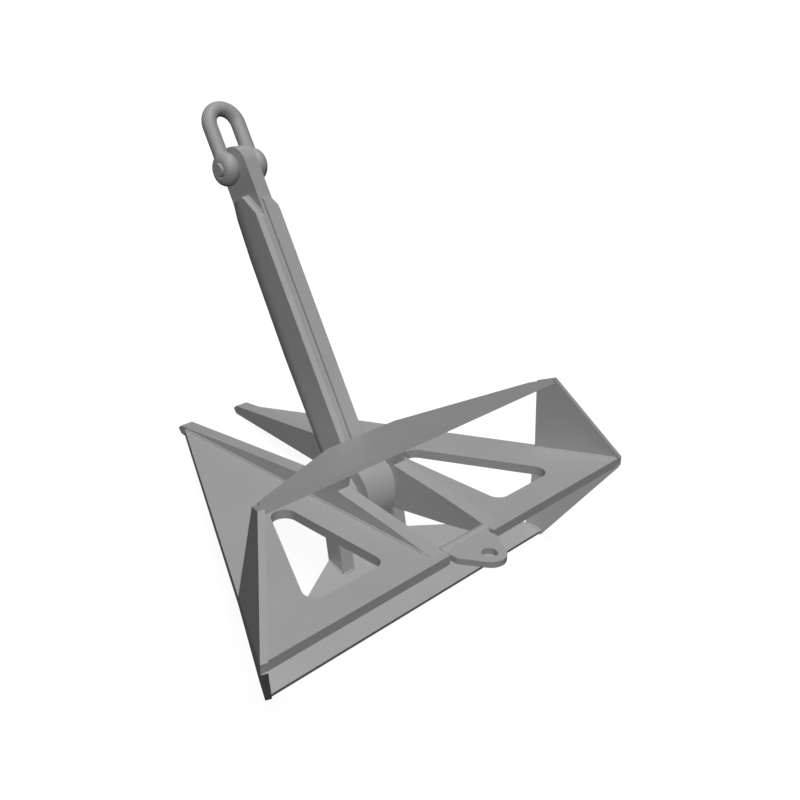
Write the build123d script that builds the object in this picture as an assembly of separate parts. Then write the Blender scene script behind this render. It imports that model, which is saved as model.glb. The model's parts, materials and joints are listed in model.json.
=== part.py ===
"""Welded steel drag anchor with hinged flukes, in millimetres.

The flukes are built with their mid-plane level: x runs across, y forward to the noses and z up, from the
middle of the rear edge. At the end every piece is turned nose down, until the anchor stands on its lower palm
and its two noses, and moved so that the origin is under the middle of its outline, on the ground.
"""
import math
import os
from build123d import *

os.makedirs("parts", exist_ok=True)

# Fluke plates
half_width = 980.0
sweep_angle = 28.1
fluke_thickness = 38.0
hole_rear_margin = 127.0
hole_inner_margin = 131.0
hole_outer_margin = 205.0
hole_corner_radius = 50.0

# Ribs beside the slot, with their posts
slot_width = 245.0
rib_thickness = 60.0
rib_length = 1540.0
rib_foot_length = 34.0
rib_knee_at = 237.0
rib_knee_height = 55.5
rib_peak_at = 591.0
rib_peak_height = 103.0
rib_lower_peak_height = 96.5
nose_height = 10.0
nose_chamfer_length = 18.5
nose_upper_chamfer = 16.0
nose_lower_chamfer = 22.5
post_rear_foot_at = 515.0
post_rear_foot_height = 94.6
post_rear_top_at = 482.0
post_front_top_at = 567.0

# Palms
palm_rear_at = 232.0
palm_rear_height = 367.5
palm_slope = 18.9
palm_chord = 360.5
palm_side_chord = 73.0
palm_thickness = 20.0
palm_nose_half_width = 181.0

# End plates
end_plate_thickness = 24.0
end_plate_foot = 366.0
end_plate_lean = 10.2
end_plate_trim_share = 0.2

# Crown
crown_at = 613.5
crown_pin_radius = 50.0
crown_pin_depth = 40.0
hub_radius = 160.0
hub_width = 143.0
boss_radius = 108.0
boss_thickness = 38.0
spacer_radius = 108.0

# Tail
cross_bar_radius = 25.0
cross_bar_at = 44.5
pad_thickness = 24.0
pad_half_width = 110.5
pad_shoulder_at = -24.0
pad_hole_at = -79.0
pad_round_radius = 63.0
pad_hole_radius = 29.5

# Shank, measured from the crown pin along the shank and towards its rear edge
shank_angle = 59.5
shank_length = 1338.0
shank_thickness = 62.0
shank_rear_offset = 110.0
head_radius = 81.3
head_offset = 39.7
front_offset = 82.3
front_taper_at = 588.0
front_shoulder_length = 226.0
front_shoulder_offset = 69.6
front_neck_length = 60.0
front_neck_offset = 56.8

# Cheeks
cheek_thickness = 30.0
cheek_rear_flat = 11.0
cheek_rear_chamfer = 12.0
cheek_face_front_low = -12.7
cheek_face_front_high = 58.0
cheek_end_gap = 56.0
cheek_front_offset_high = 43.6
cheek_cut_length = 106.0
cheek_cut_front_offset = 61.0

# Rear bar
rear_bar_left = 19.0
rear_bar_right = 33.0
rear_bar_low_height = 11.5
rear_bar_high_height = 20.3
rear_bar_end_gap = 39.0
rear_bar_corner_width = 20.0
rear_bar_corner_length = 37.0

# Shackle
shackle_rod_radius = 29.5
shackle_pin_radius = 28.0
shackle_gap = 76.0
shackle_leg = 173.0
rod_sides = 32
bend_steps = 20
eye_rod_radius = 34.0
eye_bend_radius = 32.0
eye_inner = 34.0
eye_steps = 8
pin_overhang = 11.0

# Clearances
running_fit = 0.08
seat_fit = 0.05
side_clearance = 0.5
weld_gap = 0.3

# Worked out from the sizes above
fluke_half = fluke_thickness / 2
rib_inner = slot_width / 2
rib_outer = rib_inner + rib_thickness
sweep_slope = math.tan(math.radians(sweep_angle))
sweep_cosine = math.cos(math.radians(sweep_angle))
fluke_length = (half_width - rib_outer) / sweep_slope
nose_corner_at = rib_length - nose_chamfer_length
boss_inner = rib_inner - boss_thickness
hub_half = hub_width / 2
shank_half = shank_thickness / 2
cheek_outer = shank_half + cheek_thickness
eye_radius = eye_bend_radius + eye_rod_radius
cheek_end = shank_length - eye_radius - cheek_end_gap
cheek_cut_rear_at = cheek_end - cheek_cut_length
rear_bar_end = cheek_end - rear_bar_end_gap
head_rear_offset = head_offset + head_radius
head_front_offset = head_radius - head_offset
slope_tangent = math.tan(math.radians(palm_slope))
slope_sine = math.sin(math.radians(palm_slope))
slope_cosine = math.cos(math.radians(palm_slope))
big = 3 * half_width


def palm_outer_height(y):
    """Height of the upper palm's outer surface."""
    return palm_rear_height - (y - palm_rear_at) * slope_tangent


def palm_under_height(y):
    """Height of the upper palm's surface that faces the flukes."""
    return palm_outer_height(y) - palm_thickness / slope_cosine


def side_plate(points, x_from, x_to):
    """Plate with an outline given in the side view, between two places across."""
    face = make_face(Plane.YZ.offset(x_from) * Polyline(*points, close=True))
    return extrude(face, x_to - x_from, dir=(1, 0, 0))


def cross_cylinder(radius, x_from, x_to, y, z=0.0):
    """Cylinder whose axis runs across the anchor."""
    middle = (x_from + x_to) / 2
    return Pos(middle, y, z) * Rot(Y=90) * Cylinder(radius, abs(x_to - x_from))


def to_left(shape):
    """Mirror image on the other side of the anchor's middle plane."""
    return mirror(shape, about=Plane.YZ)


def to_lower(shape):
    """Mirror image on the other side of the flukes."""
    return mirror(shape, about=Plane.XY)


# Fluke plates
def make_fluke_plate():
    """Right fluke plate: a three-cornered plate with a rounded hole."""
    outline = Polyline((rib_outer, 0), (half_width, 0), (rib_outer, fluke_length), close=True)
    hole_inner = rib_outer + hole_inner_margin
    hole_edge = half_width - hole_outer_margin / sweep_cosine
    hole_wide = hole_edge - hole_rear_margin * sweep_slope
    hole_front = (hole_edge - hole_inner) / sweep_slope
    corners = Polyline(
        (hole_inner, hole_rear_margin),
        (hole_wide, hole_rear_margin),
        (hole_inner, hole_front),
        close=True,
    )
    hole = make_face(corners)
    hole = fillet(hole.vertices(), hole_corner_radius)
    return Pos(0, 0, -fluke_half) * extrude(make_face(outline) - hole, fluke_thickness)


# Ribs
def make_rib():
    """Right rib: tapered beam with a post above and below and a blind bore for the crown pin."""
    rear_half = [
        (0, fluke_half),
        (rib_foot_length, fluke_half),
        (rib_knee_at, rib_knee_height),
        (post_rear_foot_at, post_rear_foot_height),
        (post_rear_top_at, palm_under_height(post_rear_top_at)),
        (post_front_top_at, palm_under_height(post_front_top_at)),
    ]
    front = [
        (rib_peak_at, rib_peak_height),
        (nose_corner_at, nose_height + nose_upper_chamfer),
        (rib_length, nose_height),
        (nose_corner_at, nose_height - nose_lower_chamfer),
        (rib_peak_at, -rib_lower_peak_height),
    ]
    lower_half = [(y, -z) for y, z in reversed(rear_half)]
    rib = side_plate(rear_half + front + lower_half, rib_inner, rib_outer)
    bore_end = rib_inner + crown_pin_depth
    return rib - cross_cylinder(crown_pin_radius + seat_fit, rib_inner, bore_end, crown_at)


def make_rib_boss():
    """Right boss: a thick ring on the inner face of the rib, round the crown pin."""
    boss = cross_cylinder(boss_radius, boss_inner, rib_inner, crown_at)
    return boss - cross_cylinder(crown_pin_radius + seat_fit, boss_inner, rib_inner, crown_at)


# End plates
foot_step = end_plate_foot * Vector(-math.sin(math.radians(sweep_angle)), sweep_cosine, 0)
foot_rear = Vector(half_width, 0, fluke_half)
foot_front = foot_rear + foot_step
lean_sine = math.sin(math.radians(end_plate_lean))
lean_cosine = math.cos(math.radians(end_plate_lean))
end_normal = Vector(
    lean_cosine * sweep_cosine,
    lean_cosine * math.sin(math.radians(sweep_angle)),
    lean_sine,
)


def end_face_x(y, z):
    """Place across of the end plate's outer face, in the plane that holds its foot."""
    return half_width - (end_normal.Y * y + end_normal.Z * (z - fluke_half)) / end_normal.X


palm_front_at = palm_rear_at + palm_chord * slope_cosine
palm_side_front_at = palm_rear_at + palm_side_chord * slope_cosine


def palm_edge_corner(y):
    """Corner of the palm's outer surface on the outer face of the end plate."""
    z = palm_outer_height(y)
    return Vector(end_face_x(y, z), y, z)


def make_end_plate():
    """Upper right end plate: leans inward from the fluke's outer edge to the palm."""
    top_front = palm_edge_corner(palm_side_front_at)
    top_rear = palm_edge_corner(palm_rear_at)
    rear_low = foot_rear + (foot_rear - top_rear) * end_plate_trim_share
    front_low = foot_front + (foot_front - top_front) * end_plate_trim_share
    rear_high = top_rear + (top_rear - foot_rear) * end_plate_trim_share
    front_high = top_front + (top_front - foot_front) * end_plate_trim_share
    outline = Polyline(rear_low, front_low, front_high, rear_high, close=True)
    plate = extrude(make_face(outline), end_plate_thickness, dir=-end_normal)
    between = side_plate(
        [
            (-half_width, fluke_half),
            (half_width, fluke_half),
            (half_width, palm_outer_height(half_width)),
            (-half_width, palm_outer_height(-half_width)),
        ],
        0,
        big,
    )
    return plate & between


# Palms
def make_palm():
    """Upper palm: six-sided plate between the inner faces of the end plates."""
    side = palm_edge_corner(palm_side_front_at)
    rear = palm_edge_corner(palm_rear_at)
    nose_height_here = palm_outer_height(palm_front_at)
    nose = Vector(palm_nose_half_width, palm_front_at, nose_height_here)
    half = [rear, side, nose]
    other = [Vector(-point.X, point.Y, point.Z) for point in reversed(half)]
    outline = Polyline(*half, *other, close=True)
    inward = Vector(0, -slope_sine, -slope_cosine)
    palm = extrude(make_face(outline), palm_thickness, dir=inward)
    beyond = Plane(origin=foot_rear - end_normal * end_plate_thickness, z_dir=end_normal)
    trim = extrude(beyond * Rectangle(big, big), half_width)
    return palm - trim - to_left(trim)


# Tail
def make_cross_bar():
    """Round bar between the ribs at the rear."""
    return cross_cylinder(cross_bar_radius, -rib_inner, rib_inner, cross_bar_at)


def make_pad_eye():
    """Tail plate that narrows to a round end with a hole, cut to fit the cross bar."""
    shoulder = Vector(pad_half_width, pad_shoulder_at)
    centre = Vector(0, pad_hole_at)
    reach = (shoulder - centre).length
    towards = math.atan2(shoulder.Y - centre.Y, shoulder.X)
    touch = towards - math.acos(pad_round_radius / reach)
    touch_x = pad_round_radius * math.cos(touch)
    touch_y = pad_hole_at + pad_round_radius * math.sin(touch)
    outline = Polyline(
        (-touch_x, touch_y),
        (-pad_half_width, pad_shoulder_at),
        (-pad_half_width, cross_bar_at),
        (pad_half_width, cross_bar_at),
        (pad_half_width, pad_shoulder_at),
        (touch_x, touch_y),
    )
    end = ThreePointArc((touch_x, touch_y), (0, pad_hole_at - pad_round_radius), (-touch_x, touch_y))
    face = make_face(outline + end) - Pos(0, pad_hole_at) * Circle(pad_hole_radius)
    plate = Pos(0, 0, -pad_thickness / 2) * extrude(face, pad_thickness)
    return plate - cross_cylinder(cross_bar_radius + weld_gap, -half_width, half_width, cross_bar_at)


# Crown pin and spacers
def make_crown_pin():
    """Pin held at both ends in the blind bores of the ribs."""
    pin_end = rib_inner + crown_pin_depth - weld_gap
    return cross_cylinder(crown_pin_radius, -pin_end, pin_end, crown_at)


def make_pivot_spacer():
    """Right ring on the crown pin, between the boss and the hub."""
    ring_inner = hub_half + side_clearance
    ring = cross_cylinder(spacer_radius, ring_inner, boss_inner, crown_at)
    return ring - cross_cylinder(crown_pin_radius + seat_fit, ring_inner, boss_inner, crown_at)


# Shank
angle_cosine = math.cos(math.radians(shank_angle))
angle_sine = math.sin(math.radians(shank_angle))
along_shank = Vector(0, angle_cosine, angle_sine)
to_shank_rear = Vector(0, -angle_sine, angle_cosine)
crown = Vector(0, crown_at, 0)


def shank_point(x, along, rear):
    """Point given across, along the shank from the crown pin, and towards the shank's rear."""
    return crown + Vector(x, 0, 0) + along_shank * along + to_shank_rear * rear


def shank_plane(x):
    """Side view plane of the shank: its x runs along the shank and its y towards the rear."""
    return Plane(origin=crown + Vector(x, 0, 0), x_dir=along_shank, z_dir=(1, 0, 0))


def rear_edge(along):
    """Rear edge of the shank at a distance from the crown pin."""
    return shank_rear_offset + (head_rear_offset - shank_rear_offset) * along / shank_length


def around_hub(half):
    """Room that the plates leave for the hub."""
    return cross_cylinder(hub_radius + weld_gap, -half, half, crown_at)


head_pin = shank_point(0, shank_length, head_offset)
front_edge = [
    (0, -front_offset),
    (front_taper_at, -front_offset),
    (cheek_end - front_shoulder_length, -front_shoulder_offset),
    (cheek_end - front_neck_length, -front_neck_offset),
    (cheek_end, -cheek_front_offset_high),
]


def make_hub():
    """Crown hub: a thick ring that turns on the crown pin."""
    hub = cross_cylinder(hub_radius, -hub_half, hub_half, crown_at)
    return hub - cross_cylinder(crown_pin_radius + running_fit, -hub_half, hub_half, crown_at)


def make_centre_plate():
    """Middle plate of the shank, with the round head and the hole for the shackle pin."""
    edges = Polyline(
        (shank_length, head_rear_offset),
        (0, shank_rear_offset),
        *front_edge,
        (shank_length, -head_front_offset),
    )
    head = ThreePointArc(
        (shank_length, -head_front_offset),
        (shank_length + head_radius, head_offset),
        (shank_length, head_rear_offset),
    )
    face = make_face(shank_plane(-shank_half) * (edges + head))
    plate = extrude(face, shank_thickness, dir=(1, 0, 0))
    hole = cross_cylinder(
        shackle_pin_radius + running_fit,
        -shank_half,
        shank_half,
        head_pin.Y,
        head_pin.Z,
    )
    return plate - around_hub(shank_half) - hole


def make_cheek():
    """Right cheek: doubler plate with a bevel that widens towards the head, cut slanting at its top."""
    sections = []
    for along, front in front_edge:
        share = along / cheek_end
        face_front = cheek_face_front_low + (cheek_face_front_high - cheek_face_front_low) * share
        corners = [
            (shank_half, rear_edge(along)),
            (shank_half + cheek_rear_flat, rear_edge(along)),
            (cheek_outer, rear_edge(along) - cheek_rear_chamfer),
            (cheek_outer, face_front),
            (shank_half, front),
        ]
        outline = Polyline(*[shank_point(x, along, rear) for x, rear in corners], close=True)
        sections.append(make_face(outline))
    cheek = loft(sections, ruled=True)
    cut_rise = rear_edge(cheek_cut_rear_at) - cheek_cut_front_offset
    beyond = Polyline(
        (cheek_end, cheek_cut_front_offset),
        (cheek_cut_rear_at - cheek_cut_length, cheek_cut_front_offset + 2 * cut_rise),
        (cheek_end + cheek_cut_length, cheek_cut_front_offset + 2 * cut_rise),
        (cheek_end + cheek_cut_length, cheek_cut_front_offset),
        close=True,
    )
    trim = extrude(make_face(shank_plane(0) * beyond), 2 * cheek_outer, dir=(1, 0, 0))
    return cheek - trim - around_hub(2 * cheek_outer)


def make_rear_bar():
    """Lap strip on the rear of the shank, with a face that slopes across and one corner cut off."""
    sections = []
    for along in (0.0, rear_bar_end):
        corners = [
            (-rear_bar_left, rear_edge(along)),
            (-rear_bar_left, rear_edge(along) + rear_bar_low_height),
            (rear_bar_right, rear_edge(along) + rear_bar_high_height),
            (rear_bar_right, rear_edge(along)),
        ]
        outline = Polyline(*[shank_point(x, along, rear) for x, rear in corners], close=True)
        sections.append(make_face(outline))
    bar = loft(sections, ruled=True)
    corner = Polyline(
        shank_point(rear_bar_right, rear_bar_end - rear_bar_corner_length, 0),
        shank_point(rear_bar_right, rear_bar_end, 0),
        shank_point(rear_bar_right - rear_bar_corner_width, rear_bar_end, 0),
        close=True,
    )
    trim = extrude(make_face(corner), 2 * shank_rear_offset, dir=to_shank_rear)
    return bar - trim - around_hub(shank_thickness)


# Shackle
leg_x = shackle_gap / 2 + shackle_rod_radius
eye_x = eye_inner + eye_rod_radius
eye_outer = eye_x + eye_rod_radius


def make_shackle_eye():
    """Right eye of the bow: a ball with a bore, whose round outline is drawn with short straight steps."""
    half_circle = []
    for step in range(eye_steps + 1):
        turn = math.pi * step / eye_steps
        across = eye_x - eye_rod_radius * math.cos(turn)
        reach = eye_bend_radius + eye_rod_radius * math.sin(turn)
        half_circle.append((across, reach))
    outline = Polyline((eye_outer, 0), (eye_inner, 0), *half_circle, close=True)
    section = Plane(origin=head_pin, x_dir=(1, 0, 0), z_dir=-along_shank)
    return revolve(make_face(section * outline), axis=Axis(head_pin, (1, 0, 0)))


def make_shackle_bow():
    """Rod bent to a bow, drawn with many flats, with a rounded eye at the end of each leg."""
    leg_axis = Plane(origin=head_pin + Vector(leg_x, 0, 0), z_dir=along_shank)
    rod = RegularPolygon(shackle_rod_radius, rod_sides)
    leg = extrude(leg_axis * rod, shackle_leg)
    bend_axis = Axis(head_pin + along_shank * shackle_leg, to_shank_rear)
    leg_end = leg_axis.offset(shackle_leg) * rod
    sections = [leg_end.rotate(bend_axis, 180 * step / bend_steps) for step in range(bend_steps + 1)]
    bend = loft(sections, ruled=True)
    side = leg + make_shackle_eye()
    bow = bend + side + to_left(side)
    bore = cross_cylinder(shackle_pin_radius + seat_fit, -eye_outer, eye_outer, head_pin.Y, head_pin.Z)
    return bow - bore


def make_shackle_pin():
    """Plain pin through the eyes and the head."""
    pin_end = eye_outer + pin_overhang
    return cross_cylinder(shackle_pin_radius, -pin_end, pin_end, head_pin.Y, head_pin.Z)


# All pieces, in the frame of the level flukes
fluke_plate = make_fluke_plate()
rib = make_rib()
rib_boss = make_rib_boss()
end_plate = make_end_plate()
palm = make_palm()
spacer = make_pivot_spacer()
cheek = make_cheek()
pieces = {
    "fluke_plate_right": fluke_plate,
    "fluke_plate_left": to_left(fluke_plate),
    "rib_right": rib,
    "rib_left": to_left(rib),
    "rib_boss_right": rib_boss,
    "rib_boss_left": to_left(rib_boss),
    "end_plate_upper_right": end_plate,
    "end_plate_upper_left": to_left(end_plate),
    "end_plate_lower_right": to_lower(end_plate),
    "end_plate_lower_left": to_lower(to_left(end_plate)),
    "upper_palm": palm,
    "lower_palm": to_lower(palm),
    "cross_bar": make_cross_bar(),
    "pad_eye": make_pad_eye(),
    "crown_pin": make_crown_pin(),
    "pivot_spacer_right": spacer,
    "pivot_spacer_left": to_left(spacer),
    "shank_hub": make_hub(),
    "shank_centre_plate": make_centre_plate(),
    "shank_cheek_right": cheek,
    "shank_cheek_left": to_left(cheek),
    "shank_rear_bar": make_rear_bar(),
    "shackle_bow": make_shackle_bow(),
    "shackle_pin": make_shackle_pin(),
}

# The anchor stands on the lower palm's rear edge and on its noses
nose_corner_depth = nose_lower_chamfer - nose_height
stand_tilt = math.degrees(
    math.atan2(palm_rear_height - nose_corner_depth, nose_corner_at - palm_rear_at)
)
standing = Rot(X=-stand_tilt)
outline_box = Compound(children=[standing * piece for piece in pieces.values()]).bounding_box()
to_ground = Pos(0, -outline_box.center().Y, -outline_box.min.Z)
placing = to_ground * standing


def placed_point(point):
    """Where a point of the level frame lies on the standing anchor."""
    return (placing * Pos(point)).position


for name, piece in pieces.items():
    export_step(placing * piece, f"parts/{name}.step")

print("stand tilt", round(stand_tilt, 4))
print("crown hinge", placed_point(crown))
print("shackle hinge", placed_point(head_pin))
print("pad eye hole", placed_point(Vector(0, pad_hole_at, 0)))
print("outline", outline_box.size)
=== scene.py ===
"""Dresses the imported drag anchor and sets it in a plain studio, seen as in the reference view."""
import json
import logging
import math
from dataclasses import dataclass, field
from enum import Enum

import bmesh
import bpy
from mathutils import Matrix, Vector
from mathutils.bvhtree import BVHTree


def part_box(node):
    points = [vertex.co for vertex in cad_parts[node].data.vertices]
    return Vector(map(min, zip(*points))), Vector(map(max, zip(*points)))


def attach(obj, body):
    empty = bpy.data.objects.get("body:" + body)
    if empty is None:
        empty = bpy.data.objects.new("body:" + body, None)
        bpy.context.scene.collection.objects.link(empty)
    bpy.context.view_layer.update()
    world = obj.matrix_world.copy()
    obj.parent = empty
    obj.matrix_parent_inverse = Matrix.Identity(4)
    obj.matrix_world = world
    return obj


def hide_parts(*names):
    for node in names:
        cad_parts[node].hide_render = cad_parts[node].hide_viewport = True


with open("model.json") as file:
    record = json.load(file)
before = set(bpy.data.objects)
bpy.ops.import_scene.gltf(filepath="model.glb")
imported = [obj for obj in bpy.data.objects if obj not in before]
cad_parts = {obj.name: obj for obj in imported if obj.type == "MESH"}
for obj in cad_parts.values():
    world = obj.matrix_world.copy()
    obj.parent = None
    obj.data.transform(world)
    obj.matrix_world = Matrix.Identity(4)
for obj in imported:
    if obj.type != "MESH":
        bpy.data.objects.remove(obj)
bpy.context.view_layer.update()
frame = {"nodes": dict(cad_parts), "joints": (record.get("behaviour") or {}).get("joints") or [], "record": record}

MM = 0.001
ACROSS = Vector((1, 0, 0))
WHITE = (1, 1, 1, 1)

# A height along the shank and a place behind its middle line.
ShankPoint = tuple[float, float]

logger = logging.getLogger("drag_anchor")


class Body(Enum):
    """The rigid bodies of the anchor."""

    FLUKES = "flukes"
    SHANK = "shank"
    SHACKLE = "shackle"


class Slot(Enum):
    """The material slots of the record."""

    PLATE = "plate_paint"
    FORGED = "forged_paint"


def linear_colour(hex_text: str) -> tuple[float, float, float, float]:
    """Turn an sRGB hex value into a linear colour.

    Args:
        hex_text: Six hex digits, such as "a5a5a5".

    Returns:
        Red, green, blue and alpha, linear, from 0 to 1.
    """
    shares = [int(hex_text[place:place + 2], 16) / 255 for place in (0, 2, 4)]
    linear = [share / 12.92 if share <= 0.04045 else ((share + 0.055) / 1.055) ** 2.4 for share in shares]
    return linear[0], linear[1], linear[2], 1.0


def add_node(tree: bpy.types.NodeTree, kind: str, settings: dict | None = None, **links) -> bpy.types.Node:
    """Add a shader node with its settings and incoming links.

    Args:
        tree: The node tree that takes the node.
        kind: The node's Blender type name.
        settings: Attribute names or input socket names, with their values.
        links: Input socket names, with underscores for spaces, and the sockets that feed them.

    Returns:
        The new node.
    """
    node = tree.nodes.new(kind)
    for name, value in (settings or {}).items():
        if name in node.inputs:
            node.inputs[name].default_value = value
        else:
            setattr(node, name, value)
    for name, source in links.items():
        tree.links.new(source, node.inputs[name.replace("_", " ")])
    return node


def pieces_of(body: Body, slot: Slot) -> list[str]:
    """List the CAD pieces of a body that have a slot.

    Args:
        body: The body.
        slot: The slot of the record.

    Returns:
        The names of the pieces.
    """
    slots = {part["node"]: part["material_slot"] for part in frame["record"]["subparts"]}
    return [name for name in frame["record"]["behaviour"]["bodies"][body.value] if slots[name] == slot.value]


def joint_place(name: str) -> Vector:
    """Give the place of a joint of the record."""
    return Vector(next(joint for joint in frame["joints"] if joint["name"] == name)["pos_m"])


def mount_axis(name: str) -> Vector:
    """Give the direction of a mount of the record."""
    mounts = frame["record"]["mounts"]
    return Vector(next(mount for mount in mounts if mount["name"] == name)["axis"]).normalized()


def skin(mesh: bmesh.types.BMesh, rings: list[list[bmesh.types.BMVert]]) -> None:
    """Lay faces between neighbouring closed rings.

    Args:
        mesh: The mesh that takes the faces.
        rings: Rings with equal numbers of points.
    """
    for low, high in zip(rings, rings[1:]):
        for place in range(len(low)):
            after = (place + 1) % len(low)
            mesh.faces.new((low[place], low[after], high[after], high[place]))


def skin_with_ends(mesh: bmesh.types.BMesh, rings: list[list[bmesh.types.BMVert]]) -> None:
    """Lay faces between neighbouring rings and close both ends.

    Args:
        mesh: The mesh that takes the faces.
        rings: Rings with equal numbers of points.
    """
    skin(mesh, rings)
    mesh.faces.new(rings[0])
    mesh.faces.new(list(reversed(rings[-1])))


def new_piece(name: str, mesh: bmesh.types.BMesh, crease_angle: float = math.inf) -> bpy.types.Object:
    """Turn a mesh into a piece of the scene, with its faces turned outwards.

    Args:
        name: The name of the piece.
        mesh: The mesh, in the row frame. It is used up.
        crease_angle: The angle between two faces from which their edge is drawn sharp.

    Returns:
        The piece.
    """
    bmesh.ops.recalc_face_normals(mesh, faces=mesh.faces)
    for edge in mesh.edges:
        edge.smooth = edge.calc_face_angle(0.0) < crease_angle
    data = bpy.data.meshes.new(name)
    mesh.to_mesh(data)
    mesh.free()
    piece = bpy.data.objects.new(name, data)
    bpy.context.scene.collection.objects.link(piece)
    return piece


def hang(piece: bpy.types.Object, body: Body, material: bpy.types.Material) -> None:
    """Give a piece its finish and its body, and report it.

    Args:
        piece: The piece, in place.
        body: The body that it moves with.
        material: The finish.
    """
    piece.data.materials.clear()
    piece.data.materials.append(material)
    piece.data.polygons.foreach_set("use_smooth", [True] * len(piece.data.polygons))
    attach(piece, body.value)
    logger.info("%s on %s: %d faces", piece.name, body.value, len(piece.data.polygons))


@dataclass(frozen=True)
class SprayedPlatePaint:
    """Grey two-pack paint, sprayed on rolled steel plate."""

    # The eye sees an even, satin grey with soft highlights. Orange peel breaks them up a little, the tone
    # drifts slowly over the plates, and the rolled plate adds a long, shallow wave.
    name: str = "sprayed paint on steel plate"
    colour: str = "a5a5a5"
    roughness: float = 0.5
    ior: float = 1.5
    tone_patch: float = 260 * MM
    tone_detail: float = 4.0
    tone_share: float = 0.025
    tone_limits: tuple[float, float] = (0.3, 0.7)
    gloss_patch: float = 70 * MM
    gloss_detail: float = 3.0
    gloss_spread: float = 0.05
    # Orange peel is 1 mm to 2 mm wide. It is drawn at 3.5 mm, so that it shows from the reference distance.
    peel_width: float = 3.5 * MM
    peel_detail: float = 1.0
    peel_height: float = 0.06 * MM
    peel_strength: float = 0.5
    steel_width: float = 110 * MM
    steel_detail: float = 2.0
    steel_height: float = 0.22 * MM
    steel_strength: float = 1.0

    def build(self) -> bpy.types.Material:
        """Make the material.

        Returns:
            The finished material.
        """
        material = bpy.data.materials.new(self.name)
        material.use_nodes = True
        tree = material.node_tree
        tree.nodes.clear()
        gloss = self.noise(tree, self.gloss_patch, self.gloss_detail)
        matt = add_node(
            tree,
            "ShaderNodeMapRange",
            {"To Min": self.roughness - self.gloss_spread, "To Max": self.roughness + self.gloss_spread},
            Value=gloss,
        )
        shader = add_node(
            tree,
            "ShaderNodeBsdfPrincipled",
            {"IOR": self.ior, "Metallic": 0.0},
            Base_Color=self.tones(tree),
            Roughness=matt.outputs["Result"],
            Normal=self.relief(tree),
        )
        add_node(tree, "ShaderNodeOutputMaterial", None, Surface=shader.outputs["BSDF"])
        return material

    @staticmethod
    def noise(tree: bpy.types.NodeTree, width: float, detail: float) -> bpy.types.NodeSocket:
        """Add noise of a real width.

        Args:
            tree: The node tree.
            width: The width of its patches, in metres.
            detail: How many finer layers it has.

        Returns:
            The socket with the noise.
        """
        place = add_node(tree, "ShaderNodeTexCoord").outputs["Object"]
        settings = {"Scale": 1 / width, "Detail": detail}
        return add_node(tree, "ShaderNodeTexNoise", settings, Vector=place).outputs["Fac"]

    def tones(self, tree: bpy.types.NodeTree) -> bpy.types.NodeSocket:
        """Let the grey drift slowly.

        Args:
            tree: The node tree.

        Returns:
            The socket with the colour.
        """
        base = Vector(linear_colour(self.colour)[:3])
        patches = self.noise(tree, self.tone_patch, self.tone_detail)
        ramp = add_node(tree, "ShaderNodeValToRGB", None, Fac=patches)
        for stop, limit, sign in zip(ramp.color_ramp.elements, self.tone_limits, (-1, 1)):
            stop.position = limit
            stop.color = (*(base * (1 + sign * self.tone_share)), 1.0)
        return ramp.outputs["Color"]

    def relief(self, tree: bpy.types.NodeTree) -> bpy.types.NodeSocket:
        """Add the steel's own unevenness with the orange peel over it.

        Args:
            tree: The node tree.

        Returns:
            The socket with the surface direction.
        """
        steel = add_node(
            tree,
            "ShaderNodeBump",
            {"Strength": self.steel_strength, "Distance": self.steel_height},
            Height=self.noise(tree, self.steel_width, self.steel_detail),
        )
        peel = add_node(
            tree,
            "ShaderNodeBump",
            {"Strength": self.peel_strength, "Distance": self.peel_height},
            Height=self.noise(tree, self.peel_width, self.peel_detail),
            Normal=steel.outputs["Normal"],
        )
        return peel.outputs["Normal"]


@dataclass(frozen=True)
class SprayedForgingPaint(SprayedPlatePaint):
    """The same paint, sprayed on forged steel."""

    # The eye sees highlights that waver, because the paint follows the small dimples that forge scale leaves.
    name: str = "sprayed paint on forged steel"
    tone_patch: float = 120 * MM
    gloss_patch: float = 40 * MM
    # Orange peel is up to 2 mm wide here too. It is drawn at 5 mm, so that it shows on the round pieces.
    peel_width: float = 5.0 * MM
    peel_height: float = 0.1 * MM
    steel_width: float = 16 * MM
    steel_height: float = 0.35 * MM


@dataclass
class DressedBody:
    """The CAD pieces of one body that share a finish."""

    body: Body
    slot: Slot
    material: bpy.types.Material

    def dress(self) -> None:
        """Give each piece the finish, and report it."""
        for name in pieces_of(self.body, self.slot):
            piece = frame["nodes"][name]
            piece.data.materials.clear()
            piece.data.materials.append(self.material)
            logger.info("dressed %s on %s", name, self.body.value)


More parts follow.
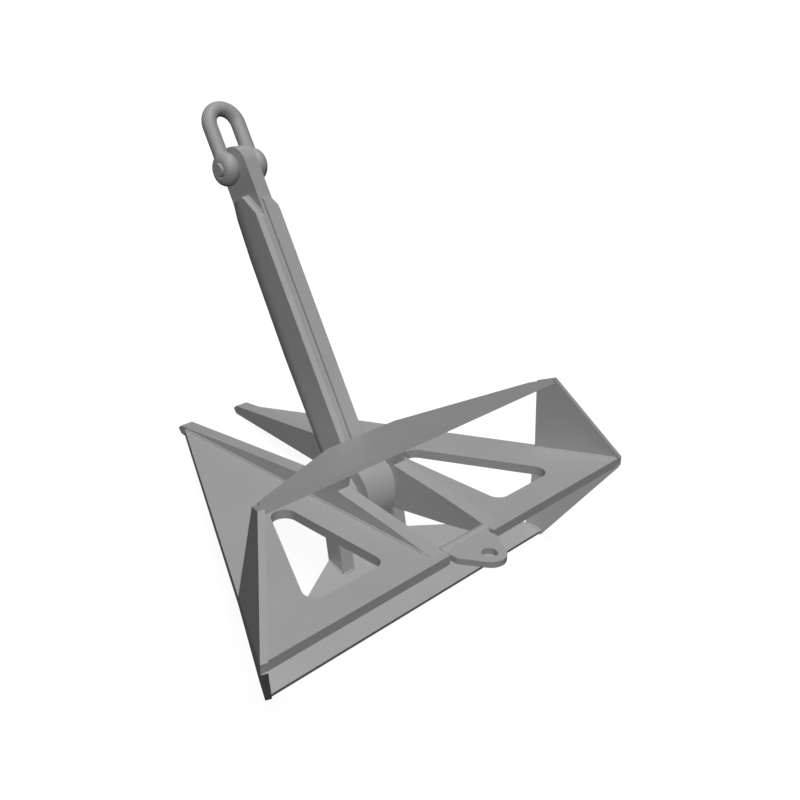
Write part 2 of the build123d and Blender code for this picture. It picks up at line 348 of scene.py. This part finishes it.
@dataclass(frozen=True)
class ForgedBow:
    """Round bar bent to a smooth bow with forged eyes, in place of the flat-sided CAD bow."""

    material: bpy.types.Material
    rod_radius: float = 29.5 * MM
    bend_radius: float = 67.5 * MM
    leg: float = 173 * MM
    leg_root: float = 45 * MM
    leg_parts: int = 8
    eye_offset: float = 68 * MM
    eye_ring_radius: float = 32 * MM
    eye_rod_radius: float = 34 * MM
    bore_radius: float = 28.6 * MM
    sides: int = 96
    voxel: float = 1.8 * MM
    smoothing: float = 0.5
    smoothing_rounds: int = 10

    def rod_line(self) -> list[tuple[Vector, Vector]]:
        """Give the stations of the bent bar.

        Returns:
            For each station its centre and the direction in which its section starts, in the bow's plane.
        """
        straight = self.leg - self.leg_root
        heights = [self.leg_root + straight * part / self.leg_parts for part in range(self.leg_parts + 1)]
        left = [(Vector((-self.bend_radius, height, 0)), ACROSS) for height in heights]
        bend = []
        for step in range(1, self.sides):
            turn = math.pi * step / self.sides
            outward = Vector((-math.cos(turn), math.sin(turn), 0))
            bend.append((Vector((0, self.leg, 0)) + outward * self.bend_radius, -outward))
        right = [(Vector((self.bend_radius, height, 0)), -ACROSS) for height in reversed(heights)]
        return left + bend + right

    def add_rod(self, mesh: bmesh.types.BMesh) -> None:
        """Sweep the round bar along its line, with closed ends.

        Args:
            mesh: The mesh that takes the bar.
        """
        rear = Vector((0, 0, 1))
        angles = [math.tau * side / self.sides for side in range(self.sides)]
        rings = []
        for centre, inward in self.rod_line():
            rings.append([
                mesh.verts.new(centre + (inward * math.cos(angle) + rear * math.sin(angle)) * self.rod_radius)
                for angle in angles
            ])
        skin_with_ends(mesh, rings)

    def add_eye(self, mesh: bmesh.types.BMesh, side: int) -> None:
        """Turn the eye's section round the shackle pin.

        Args:
            mesh: The mesh that takes the eye.
            side: 1 for the right eye, -1 for the left one.
        """
        bore_angle = math.acos((self.bore_radius - self.eye_ring_radius) / self.eye_rod_radius)
        angles = [-bore_angle + 2 * bore_angle * step / self.sides for step in range(self.sides + 1)]
        ring, rod = self.eye_ring_radius, self.eye_rod_radius
        section = [(ring + rod * math.cos(angle), rod * math.sin(angle)) for angle in angles]
        middle = side * self.eye_offset
        rings = []
        for step in range(self.sides):
            turn = math.tau * step / self.sides
            rings.append([
                mesh.verts.new((middle + along, radius * math.cos(turn), radius * math.sin(turn)))
                for radius, along in section
            ])
        skin(mesh, rings + [rings[0]])

    def blend(self, bow: bpy.types.Object) -> None:
        """Join the bar and the eyes to one skin with forged roundings between them.

        Args:
            bow: The bow, with bar and eyes as crossing shells.
        """
        remesh = bow.modifiers.new("join", "REMESH")
        remesh.mode = "VOXEL"
        remesh.voxel_size = self.voxel
        smooth = bow.modifiers.new("round_off", "SMOOTH")
        smooth.factor = self.smoothing
        smooth.iterations = self.smoothing_rounds
        finished = bow.evaluated_get(bpy.context.evaluated_depsgraph_get())
        bow.data = bpy.data.meshes.new_from_object(finished)
        bow.modifiers.clear()

    def build(self) -> None:
        """Make the bow and hang it on the shackle."""
        along = mount_axis("shackle_crown")
        turn = Matrix((ACROSS, along, ACROSS.cross(along))).transposed().to_4x4()
        mesh = bmesh.new()
        self.add_rod(mesh)
        for side in (-1, 1):
            self.add_eye(mesh, side)
        mesh.transform(Matrix.Translation(joint_place("shackle_pivot")) @ turn)
        bow = new_piece("forged_bow", mesh)
        self.blend(bow)
        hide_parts("shackle_bow")
        hang(bow, Body.SHACKLE, self.material)


@dataclass(frozen=True)
class WeldRun:
    """A straight length of fillet weld where one piece, the wall, stands on another, the foot."""

    start: Vector
    end: Vector
    along_foot: Vector
    along_wall: Vector
    foot_normal: Vector
    wall_normal: Vector


@dataclass(frozen=True)
class FilletWelds:
    """Painted fillet welds in the corners where one piece stands on another."""

    name: str
    body: Body
    pieces: tuple[str, ...]
    material: bpy.types.Material
    leg: float = 5.5 * MM
    bulge: float = 1.14
    bulge_share: float = 0.32
    bury: float = 0.35 * MM
    # A real ripple is 1.5 mm to 3 mm wide. It is drawn at 9 mm, so that it shows from the reference distance.
    ripple_pitch: float = 9.0 * MM
    ripple_share: float = 0.07
    drift_pitch: float = 83.0 * MM
    drift_share: float = 0.05
    end_taper: float = 9.0 * MM
    end_share: float = 0.35
    probe_step: float = 5.0 * MM
    fewest_probes: int = 2
    station_step: float = 2.5 * MM
    fewest_stations: int = 4
    shortest: float = 45.0 * MM
    longest: float = math.inf
    touch: float = 0.6 * MM
    same_point: float = 0.01 * MM
    flat_angle: float = math.radians(0.5)
    flush_cosine: float = 0.97
    rise_sine: float = 0.30

    def solid(self, name: str) -> bmesh.types.BMesh:
        """Copy a CAD piece with its flat faces whole.

        Args:
            name: The piece.

        Returns:
            The copy.
        """
        mesh = bmesh.new()
        mesh.from_mesh(frame["nodes"][name].data)
        bmesh.ops.remove_doubles(mesh, verts=mesh.verts, dist=self.same_point)
        bmesh.ops.dissolve_limit(mesh, angle_limit=self.flat_angle, verts=mesh.verts, edges=mesh.edges)
        return mesh

    def near(self, first: str, second: str) -> bool:
        """Tell whether the boxes of two pieces meet.

        Args:
            first: One piece.
            second: The other piece.

        Returns:
            True where they meet.
        """
        (low_a, high_a), (low_b, high_b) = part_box(first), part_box(second)
        gaps = [max(low_a[axis] - high_b[axis], low_b[axis] - high_a[axis]) for axis in range(3)]
        return max(gaps) <= self.touch

    def seat(
        self,
        point: Vector,
        line: Vector,
        under: Vector,
        wall_side: tuple[Vector, Vector],
        wall: BVHTree,
        foot: BVHTree,
    ) -> tuple[Vector, Vector] | None:
        """Tell whether a weld fits at a point of an edge.

        Args:
            point: The point.
            line: The edge's direction.
            under: Normal of the face that would lie on the foot.
            wall_side: Normal of the rising face, and the direction up that face from the edge.
            wall: The standing piece.
            foot: The piece that it may stand on.

        Returns:
            The direction away from the wall along the foot and the foot's normal, or None.
        """
        place, normal, _, _ = foot.find_nearest(point, self.touch)
        if place is None or normal.dot(under) > -self.flush_cosine:
            return None
        wall_normal, along_wall = wall_side
        if along_wall.dot(normal) <= self.rise_sine:
            return None
        outward = wall_normal - normal * wall_normal.dot(normal)
        outward = (outward - line * outward.dot(line)).normalized()
        toe, toe_normal, _, _ = foot.find_nearest(point + outward * self.leg, self.touch)
        top = wall.find_nearest(point + along_wall * self.leg, self.touch)[0]
        if toe is None or top is None or toe_normal.dot(normal) <= self.flush_cosine:
            return None
        return outward, normal.copy()

    def runs_along(self, edge: bmesh.types.BMEdge, wall: BVHTree, foot: BVHTree) -> list[WeldRun]:
        """Find the welds along one edge.

        Args:
            edge: An edge of the standing piece.
            wall: The standing piece.
            foot: The piece that it may stand on.

        Returns:
            The welds.
        """
        runs: list[WeldRun] = []
        length = edge.calc_length()
        if not self.shortest <= length <= self.longest or len(edge.link_faces) != 2:
            return runs
        start = edge.verts[0].co.copy()
        line = (edge.verts[1].co - start).normalized()
        count = max(self.fewest_probes, int(length / self.probe_step))
        for lying, rising in ((0, 1), (1, 0)):
            under = edge.link_faces[lying].normal
            loop = next(one for one in edge.link_loops if one.face == edge.link_faces[rising])
            wall_normal = loop.face.normal.copy()
            loop_line = (loop.link_loop_next.vert.co - loop.vert.co).normalized()
            along_wall = wall_normal.cross(loop_line).normalized()
            welded: list[float] = []
            along_foot, foot_normal = Vector(), Vector()
            for step in range(count + 1):
                reach = length * step / count
                point = start + line * min(max(reach, self.touch), length - self.touch)
                found = self.seat(point, line, under, (wall_normal, along_wall), wall, foot)
                if found:
                    welded.append(reach)
                    along_foot, foot_normal = found
                if welded and (not found or step == count):
                    if welded[-1] - welded[0] >= self.shortest:
                        ends = (start + line * welded[0], start + line * welded[-1])
                        runs.append(WeldRun(*ends, along_foot, along_wall, foot_normal, wall_normal))
                    welded = []
        return runs

    def lay(self, mesh: bmesh.types.BMesh, run: WeldRun) -> None:
        """Draw one bead with its ripples and tapered ends.

        Args:
            mesh: The mesh that takes the bead.
            run: The weld.
        """
        length = (run.end - run.start).length
        count = max(self.fewest_stations, int(length / self.station_step))
        low, high = self.bulge_share, 1 - self.bulge_share
        rings = []
        for step in range(count + 1):
            reach = length * step / count
            taper = min(1.0, self.end_share + min(reach, length - reach) / self.end_taper)
            wave = 1 + self.ripple_share * math.sin(math.tau * reach / self.ripple_pitch)
            wave += self.drift_share * math.sin(math.tau * reach / self.drift_pitch)
            leg = self.leg * taper * wave
            root = run.start.lerp(run.end, step / count)
            section = (
                root - (run.foot_normal + run.wall_normal) * self.bury,
                root + run.along_foot * leg - run.foot_normal * self.bury,
                root + (run.along_foot * high + run.along_wall * low) * leg * self.bulge,
                root + (run.along_foot * low + run.along_wall * high) * leg * self.bulge,
                root + run.along_wall * leg - run.wall_normal * self.bury,
            )
            rings.append([mesh.verts.new(point) for point in section])
        skin_with_ends(mesh, rings)

    def build(self) -> None:
        """Find every corner between the pieces and weld it."""
        solids = {name: self.solid(name) for name in self.pieces}
        trees = {name: BVHTree.FromBMesh(solid) for name, solid in solids.items()}
        beads = bmesh.new()
        for wall, solid in solids.items():
            for foot, tree in trees.items():
                if foot == wall or not self.near(wall, foot):
                    continue
                for edge in solid.edges:
                    for run in self.runs_along(edge, trees[wall], tree):
                        self.lay(beads, run)
                        logger.info("weld %s on %s, %.0f mm", wall, foot, (run.end - run.start).length / MM)
        for solid in solids.values():
            solid.free()
        hang(new_piece(self.name, beads), self.body, self.material)


@dataclass(frozen=True)
class RoundedCheek:
    """Pressed rounding along the front corner of a shank cheek, laid on the flat facet of the CAD cheek."""

    name: str
    side: int
    material: bpy.types.Material
    outer_face: float = 61 * MM
    inner_face: float = 31 * MM
    # The corner where the cheek's side ends, and its front edge, both from the hub to the head.
    corner_line: tuple[ShankPoint, ...] = ((160 * MM, -8 * MM), (588 * MM, 4 * MM), (1217 * MM, 22 * MM))
    front_line: tuple[ShankPoint, ...] = (
        (135 * MM, -86 * MM),
        (585 * MM, -100 * MM),
        (988 * MM, -99 * MM),
        (1154 * MM, -91 * MM),
        (1214 * MM, -80 * MM),
    )
    flat_run: float = 14 * MM
    corner_rise: float = 42 * MM
    # Shares of the way from the corner line's height to the front line's, half down the flat and at its end.
    flat_lean: float = 0.15
    arc_lean: float = 0.3
    stations: int = 60
    arc_steps: int = 18
    lift: float = 0.2 * MM
    crease_angle: float = math.radians(30)

    @staticmethod
    def at_share(line: tuple[ShankPoint, ...], share: float) -> ShankPoint:
        """Give the point at a share of a line's height.

        Args:
            line: The line's corners.
            share: 0 at the line's start and 1 at its end.

        Returns:
            The point.
        """
        height = line[0][0] + (line[-1][0] - line[0][0]) * share
        for (low, first), (high, last) in zip(line, line[1:]):
            if height <= high:
                return height, first + (last - first) * (height - low) / (high - low)
        return line[-1]

    def outline(self, corner: float, front: float) -> list[tuple[float, float, float]]:
        """Give the outer outline of one section: a flat, then an arc drawn towards the front edge.

        Args:
            corner: Place of the corner line.
            front: Place of the front edge.

        Returns:
            For each point its distance from the middle plane, its place and its lean.
        """
        points = [
            (self.outer_face + self.lift, corner, 0.0),
            (self.outer_face + self.lift, corner - self.flat_run / 2, self.flat_lean),
        ]
        for step in range(self.arc_steps + 1):
            turn = step / self.arc_steps
            start, pull, end = (1 - turn) ** 2, 2 * turn * (1 - turn), turn ** 2
            out = self.outer_face * (start + pull) + self.inner_face * end + self.lift
            back = (corner - self.flat_run) * start + (front + self.corner_rise) * pull + front * end
            points.append((out, back, self.arc_lean + (1 - self.arc_lean) * turn))
        return points

    def build(self) -> None:
        """Loft the rounding from the hub to the head and let it ride on the shank."""
        crown = joint_place("crown_pivot")
        along = (joint_place("shackle_pivot") - crown).normalized()
        rear = ACROSS.cross(along)
        sideways = ACROSS * self.side
        mesh = bmesh.new()
        rings = []
        for station in range(self.stations + 1):
            share = station / self.stations
            corner_height, corner = self.at_share(self.corner_line, share)
            front_height, front = self.at_share(self.front_line, share)
            ring = []
            for out, back, lean in self.outline(corner, front):
                height = corner_height + (front_height - corner_height) * lean
                ring.append(mesh.verts.new(crown + sideways * out + along * height + rear * back))
            # The back of the rounding lies inside the cheek, out of sight.
            hidden = sideways * self.inner_face + along * front_height + rear * (corner + front) / 2
            ring.append(mesh.verts.new(crown + hidden))
            rings.append(ring)
        skin_with_ends(mesh, rings)
        hang(new_piece(self.name, mesh, self.crease_angle), Body.SHANK, self.material)


@dataclass
class LevelFrame:
    """Axes of the flukes as if they lay level, seen from the standing anchor."""

    crown: Vector = field(init=False)
    forward: Vector = field(init=False)
    up: Vector = field(init=False)

    def __post_init__(self) -> None:
        """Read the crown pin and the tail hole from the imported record."""
        self.crown = joint_place("crown_pivot")
        self.up = mount_axis("tail_pad_hole")
        self.forward = self.up.cross(ACROSS)

    def direction(self, x: float, y: float, z: float) -> Vector:
        """Turn a direction of the level flukes into the standing frame."""
        return ACROSS * x + self.forward * y + self.up * z

    def axes(self) -> Matrix:
        """Give the level axes as the columns of a matrix."""
        return Matrix((ACROSS, self.forward, self.up)).transposed()


@dataclass
class ViewCamera:
    """Camera at the reference view, solved from the straight edges of the flukes."""

    from_crown: tuple[float, float, float] = (-2.5120, -2.5950, 1.9808)
    azimuth: float = math.radians(-46.843)
    elevation: float = math.radians(23.829)
    roll: float = math.radians(1.264)
    lens_mm: float = 46.367
    sensor_mm: float = 36.0
    far_end: float = 100.0

    def build(self, level: LevelFrame) -> None:
        """Place the camera.

        Args:
            level: The level axes of the flukes, in which the view was solved.
        """
        back = Vector((
            math.sin(self.azimuth) * math.cos(self.elevation),
            -math.cos(self.azimuth) * math.cos(self.elevation),
            math.sin(self.elevation),
        ))
        level_right = Vector((0, 0, 1)).cross(back).normalized()
        level_up = back.cross(level_right)
        right = level_right * math.cos(self.roll) + level_up * math.sin(self.roll)
        up = back.cross(right)
        turn = level.axes() @ Matrix((right, up, back)).transposed()
        data = bpy.data.cameras.new("view_camera")
        data.lens = self.lens_mm
        data.sensor_width = self.sensor_mm
        data.clip_end = self.far_end
        camera = bpy.data.objects.new("view_camera", data)
        place = level.crown + level.direction(*self.from_crown)
        camera.matrix_world = Matrix.Translation(place) @ turn.to_4x4()
        bpy.context.scene.collection.objects.link(camera)
        bpy.context.scene.camera = camera


@dataclass(frozen=True)
class Lamp:
    """A soft lamp far away: the direction towards it, over the level flukes, and its share of the light."""

    name: str
    towards: tuple[float, float, float]
    share: float


@dataclass
class Studio:
    """Pale floor, even surroundings and soft lamps."""

    floor_size: float = 60.0
    floor_glow: float = 0.70
    floor_colour: str = "909090"
    floor_bounce_colour: str = "202020"
    surround_seen: float = 1.0
    surround: float = 0.02
    lamp_angle: float = math.radians(12)
    shadow_share: float = 0.45
    shadow_angle: float = math.radians(50)
    lamps: tuple[Lamp, ...] = (
        Lamp("top_lamp", (0.107, -0.177, 0.978), 0.430),
        Lamp("side_lamp", (-0.814, -0.296, 0.500), 0.225),
        Lamp("rear_lamp", (-0.409, -0.696, 0.590), 0.262),
        Lamp("rear_high_lamp", (-0.142, -0.570, 0.809), 0.109),
        Lamp("front_lamp", (0.497, 0.552, 0.669), 0.063),
    )

    def build(self, level: LevelFrame) -> None:
        """Make the floor, the world and the lamps.

        Args:
            level: The level axes of the flukes, in which the lamps are placed.
        """
        floor = self.build_floor()
        self.build_shadow_lamp(floor)
        self.build_world()
        for lamp in self.lamps:
            light = self.far_lamp(lamp.name, lamp.share, self.lamp_angle)
            light.data.use_shadow = False
            light.rotation_euler = level.direction(*lamp.towards).to_track_quat("Z", "Y").to_euler()

    @staticmethod
    def far_lamp(name: str, share: float, angle: float) -> bpy.types.Object:
        """Add a lamp far away, straight overhead.

        Args:
            name: The lamp's name.
            share: Its share of the light.
            angle: How wide it looks from the anchor.

        Returns:
            The lamp.
        """
        data = bpy.data.lights.new(name, "SUN")
        data.energy = share * math.pi
        data.angle = angle
        light = bpy.data.objects.new(name, data)
        bpy.context.scene.collection.objects.link(light)
        return light

    def build_shadow_lamp(self, floor: bpy.types.Object) -> None:
        """Make a wide lamp overhead that lights the floor alone, for the anchor's soft shadow.

        Args:
            floor: The floor.
        """
        light = self.far_lamp("shadow_lamp", self.shadow_share, self.shadow_angle)
        receivers = bpy.data.collections.new("shadow_receivers")
        receivers.objects.link(floor)
        light.light_linking.receiver_collection = receivers

    def build_floor(self) -> bpy.types.Object:
        """Make the floor: a glow for the camera, with a grey face that keeps the shadow.

        Returns:
            The floor.
        """
        half = self.floor_size / 2
        corners = [(-half, -half, 0), (half, -half, 0), (half, half, 0), (-half, half, 0)]
        mesh = bpy.data.meshes.new("floor")
        mesh.from_pydata(corners, [], [(0, 1, 2, 3)])
        floor = bpy.data.objects.new("floor", mesh)
        bpy.context.scene.collection.objects.link(floor)
        # Matt studio board. It looks white where nothing shades it, and throws almost no light back.
        material = bpy.data.materials.new("pale studio floor")
        material.use_nodes = True
        tree = material.node_tree
        tree.nodes.clear()
        seen = add_node(tree, "ShaderNodeLightPath").outputs["Is Camera Ray"]
        face = add_node(tree, "ShaderNodeBsdfDiffuse", {"Color": linear_colour(self.floor_colour)})
        glow = add_node(tree, "ShaderNodeEmission", {"Color": WHITE, "Strength": self.floor_glow})
        shown = add_node(tree, "ShaderNodeAddShader")
        tree.links.new(face.outputs[0], shown.inputs[0])
        tree.links.new(glow.outputs[0], shown.inputs[1])
        matt = add_node(tree, "ShaderNodeBsdfDiffuse", {"Color": linear_colour(self.floor_bounce_colour)})
        both = add_node(tree, "ShaderNodeMixShader", None, Fac=seen)
        tree.links.new(matt.outputs[0], both.inputs[1])
        tree.links.new(shown.outputs[0], both.inputs[2])
        add_node(tree, "ShaderNodeOutputMaterial", None, Surface=both.outputs[0])
        mesh.materials.append(material)
        return floor

    def build_world(self) -> None:
        """Make surroundings that look white and light the anchor only a little."""
        world = bpy.data.worlds.new("studio")
        bpy.context.scene.world = world
        world.use_nodes = True
        tree = world.node_tree
        tree.nodes.clear()
        seen = add_node(tree, "ShaderNodeBackground", {"Color": WHITE, "Strength": self.surround_seen})
        lit = add_node(tree, "ShaderNodeBackground", {"Color": WHITE, "Strength": self.surround})
        camera_ray = add_node(tree, "ShaderNodeLightPath").outputs["Is Camera Ray"]
        mix = add_node(tree, "ShaderNodeMixShader", None, Fac=camera_ray)
        tree.links.new(lit.outputs[0], mix.inputs[1])
        tree.links.new(seen.outputs[0], mix.inputs[2])
        add_node(tree, "ShaderNodeOutputWorld", None, Surface=mix.outputs[0])


@dataclass
class Weldments:
    """The welds of the flukes and of the shank."""

    material: bpy.types.Material
    centre_plate: str = "shank_centre_plate"
    hub: str = "shank_hub"
    strip: str = "shank_rear_bar"
    strip_leg: float = 9.0 * MM
    strip_shortest: float = 18.0 * MM
    strip_longest: float = 150.0 * MM

    def build(self) -> None:
        """Weld the flukes, the shank and the upper end of the strip on its rear."""
        flukes = pieces_of(Body.FLUKES, Slot.PLATE)
        shank = [name for name in pieces_of(Body.SHANK, Slot.PLATE) if name != self.strip] + [self.hub]
        FilletWelds("flukes_welds", Body.FLUKES, tuple(flukes), self.material).build()
        FilletWelds("shank_welds", Body.SHANK, tuple(shank), self.material).build()
        # The strip lies on the rear of the shank. Its long sides are dry, and its upper end is welded.
        FilletWelds(
            "strip_end_welds",
            Body.SHANK,
            (self.centre_plate, self.strip),
            self.material,
            leg=self.strip_leg,
            shortest=self.strip_shortest,
            longest=self.strip_longest,
        ).build()


def main() -> None:
    """Dress the bodies, add the bow, the welds and the cheeks, then build the studio and the camera."""
    bpy.context.scene.view_settings.view_transform = "Standard"
    plate_paint = SprayedPlatePaint().build()
    forging_paint = SprayedForgingPaint().build()
    for body in Body:
        DressedBody(body, Slot.PLATE, plate_paint).dress()
        DressedBody(body, Slot.FORGED, forging_paint).dress()
    ForgedBow(forging_paint).build()
    Weldments(plate_paint).build()
    RoundedCheek("cheek_rounding_left", -1, plate_paint).build()
    RoundedCheek("cheek_rounding_right", 1, plate_paint).build()
    level = LevelFrame()
    Studio().build(level)
    ViewCamera().build(level)


if __name__ == "__main__":
    logging.basicConfig(level=logging.INFO)
    main()
